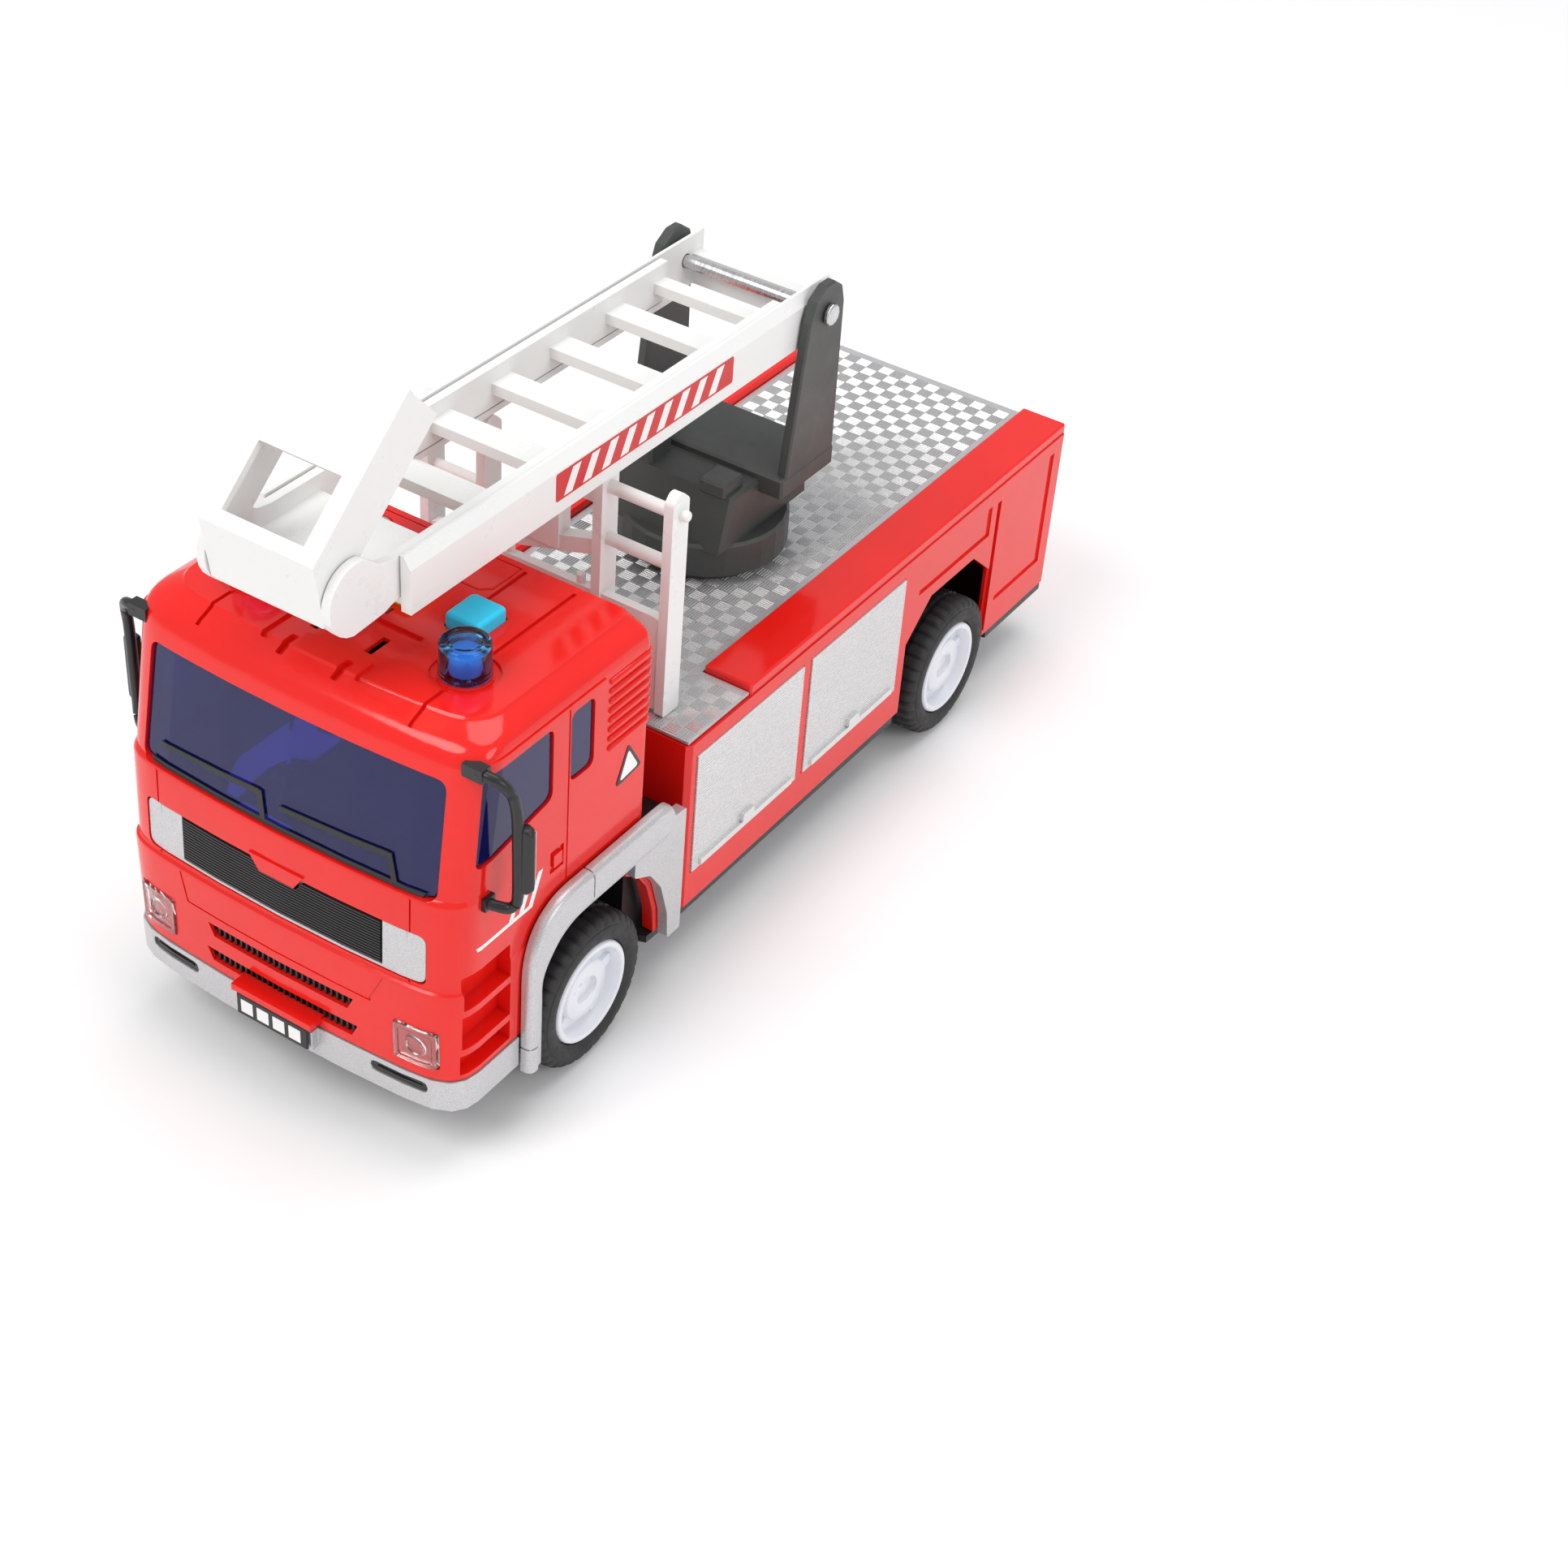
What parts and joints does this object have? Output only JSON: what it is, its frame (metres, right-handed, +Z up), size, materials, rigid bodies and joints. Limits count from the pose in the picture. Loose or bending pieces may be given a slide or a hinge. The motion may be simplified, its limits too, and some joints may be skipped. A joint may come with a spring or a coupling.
{
  "type": "toy fire engine",
  "caption": "Friction-drive toy fire engine: red cab, box body, sound buttons and beacons on the roof, and a turntable with a white extending ladder and rescue cage.",
  "frame": {"origin": "centre of the bounding box on the ground under the engine, where the tyres stand", "axes": "-Y is the way the engine drives, +X its left side, +Z up; the axles run along X"},
  "size_m": [0.1218, 0.3001, 0.1885],
  "materials": {
    "red_gloss": "gloss",
    "silver_paint": "satin",
    "white_plastic": "semi-gloss",
    "hub_white": "semi-gloss",
    "black_plastic": "matte",
    "plate_black": "gloss",
    "blue_glass": "clear tinted",
    "clear_lens": "clear",
    "beacon_blue": "clear tinted",
    "button_green": "soft matte",
    "button_yellow": "soft matte",
    "button_blue": "soft matte",
    "turret_grey": "satin",
    "tyre_rubber": "matte",
    "steel": "bright",
    "cell_steel": "bright",
    "board_green": "satin",
    "gear_plastic": "satin",
    "flywheel_zinc": "bare",
    "lamp_red": "clear tinted"
  },
  "bodies": {
    "truck": {"base_screw_front": "steel", "base_screw_rear": "steel", "battery_hatch": "red_gloss", "battery_tray": "black_plastic", "beacon_led_left": "clear_lens", "beacon_led_right": "clear_lens", "beacon_left": "beacon_blue", "beacon_right": "beacon_blue", "body_shell": "red_gloss", "button_cell_1": "cell_steel", "button_cell_2": "cell_steel", "button_cell_3": "cell_steel", "cab_glazing": "blue_glass", "cab_shell": "red_gloss", "chassis": "black_plastic", "circuit_board": "board_green", "deck_plate": "silver_paint", "front_bumper": "silver_paint", "grille_insert": "black_plastic", "grille_surround": "silver_paint", "guard_frame": "white_plastic", "hatch_screw": "steel", "headlamp_lens_left": "clear_lens", "headlamp_lens_right": "clear_lens", "lower_intake": "black_plastic", "mirror_left": "black_plastic", "mirror_right": "black_plastic", "motor_housing": "black_plastic", "number_plate": "plate_black", "shutter_front_left": "silver_paint", "shutter_front_right": "silver_paint", "shutter_rear_left": "silver_paint", "shutter_rear_right": "silver_paint", "speaker": "black_plastic", "tail_lamp_left": "lamp_red", "tail_lamp_right": "lamp_red", "wheel_arch_trim_left": "silver_paint", "wheel_arch_trim_right": "silver_paint", "wipers": "black_plastic"},
    "front_wheels": {"axle_front": "steel", "hub_front_left": "hub_white", "hub_front_right": "hub_white", "tyre_front_left": "tyre_rubber", "tyre_front_right": "tyre_rubber"},
    "rear_wheels": {"axle_rear": "steel", "drive_gear": "gear_plastic", "hub_rear_left": "hub_white", "hub_rear_right": "hub_white", "tyre_rear_left": "tyre_rubber", "tyre_rear_right": "tyre_rubber"},
    "flywheel": {"flywheel": "flywheel_zinc"},
    "turret": {"turntable": "turret_grey", "lift_pin": "steel"},
    "ladder": {"ladder_base": "white_plastic"},
    "fly_section": {"ladder_fly": "white_plastic", "cage_pin": "steel"},
    "cage": {"rescue_cage": "white_plastic"},
    "green_button": {"button_green": "button_green"},
    "yellow_button": {"button_yellow": "button_yellow"},
    "blue_button": {"button_blue": "button_blue"}
  },
  "joints": [
    {"name": "front_axle_spin", "type": "hinge", "parent": "truck", "child": "front_wheels", "pos_m": [0, -0.0915, 0.0214], "axis": [1, 0, 0], "continuous": true},
    {"name": "rear_axle_spin", "type": "hinge", "parent": "truck", "child": "rear_wheels", "pos_m": [0, 0.0853, 0.0214], "axis": [1, 0, 0], "continuous": true},
    {"name": "flywheel_spin", "type": "hinge", "parent": "truck", "child": "flywheel", "pos_m": [0, 0.07238, 0.0214], "axis": [1, 0, 0], "continuous": true},
    {"name": "turntable_turn", "type": "hinge", "parent": "truck", "child": "turret", "pos_m": [0, 0.0283, 0.0726], "axis": [0, 0, 1], "continuous": true},
    {"name": "ladder_lift", "type": "hinge", "parent": "turret", "child": "ladder", "pos_m": [0, 0.0423, 0.146], "axis": [-1, 0, 0], "range_deg": [0, 65]},
    {"name": "ladder_extend", "type": "slide", "parent": "ladder", "child": "fly_section", "axis": [0, -1, 0], "range_m": [0, 0.11]},
    {"name": "cage_tilt", "type": "hinge", "parent": "fly_section", "child": "cage", "pos_m": [0, -0.1352, 0.1482], "axis": [1, 0, 0], "range_deg": [0, 50]},
    {"name": "green_button_press", "type": "slide", "parent": "truck", "child": "green_button", "axis": [0, 0, -1], "range_m": [0, 0.002], "stiffness_N_per_m": 250, "springref_m": -0.002},
    {"name": "yellow_button_press", "type": "slide", "parent": "truck", "child": "yellow_button", "axis": [0, 0, -1], "range_m": [0, 0.002], "stiffness_N_per_m": 250, "springref_m": -0.002},
    {"name": "blue_button_press", "type": "slide", "parent": "truck", "child": "blue_button", "axis": [0, 0, -1], "range_m": [0, 0.002], "stiffness_N_per_m": 250, "springref_m": -0.002}
  ],
  "couplings": [
    {"joint": "flywheel_spin", "follows": "rear_axle_spin", "ratio": -3}
  ]
}
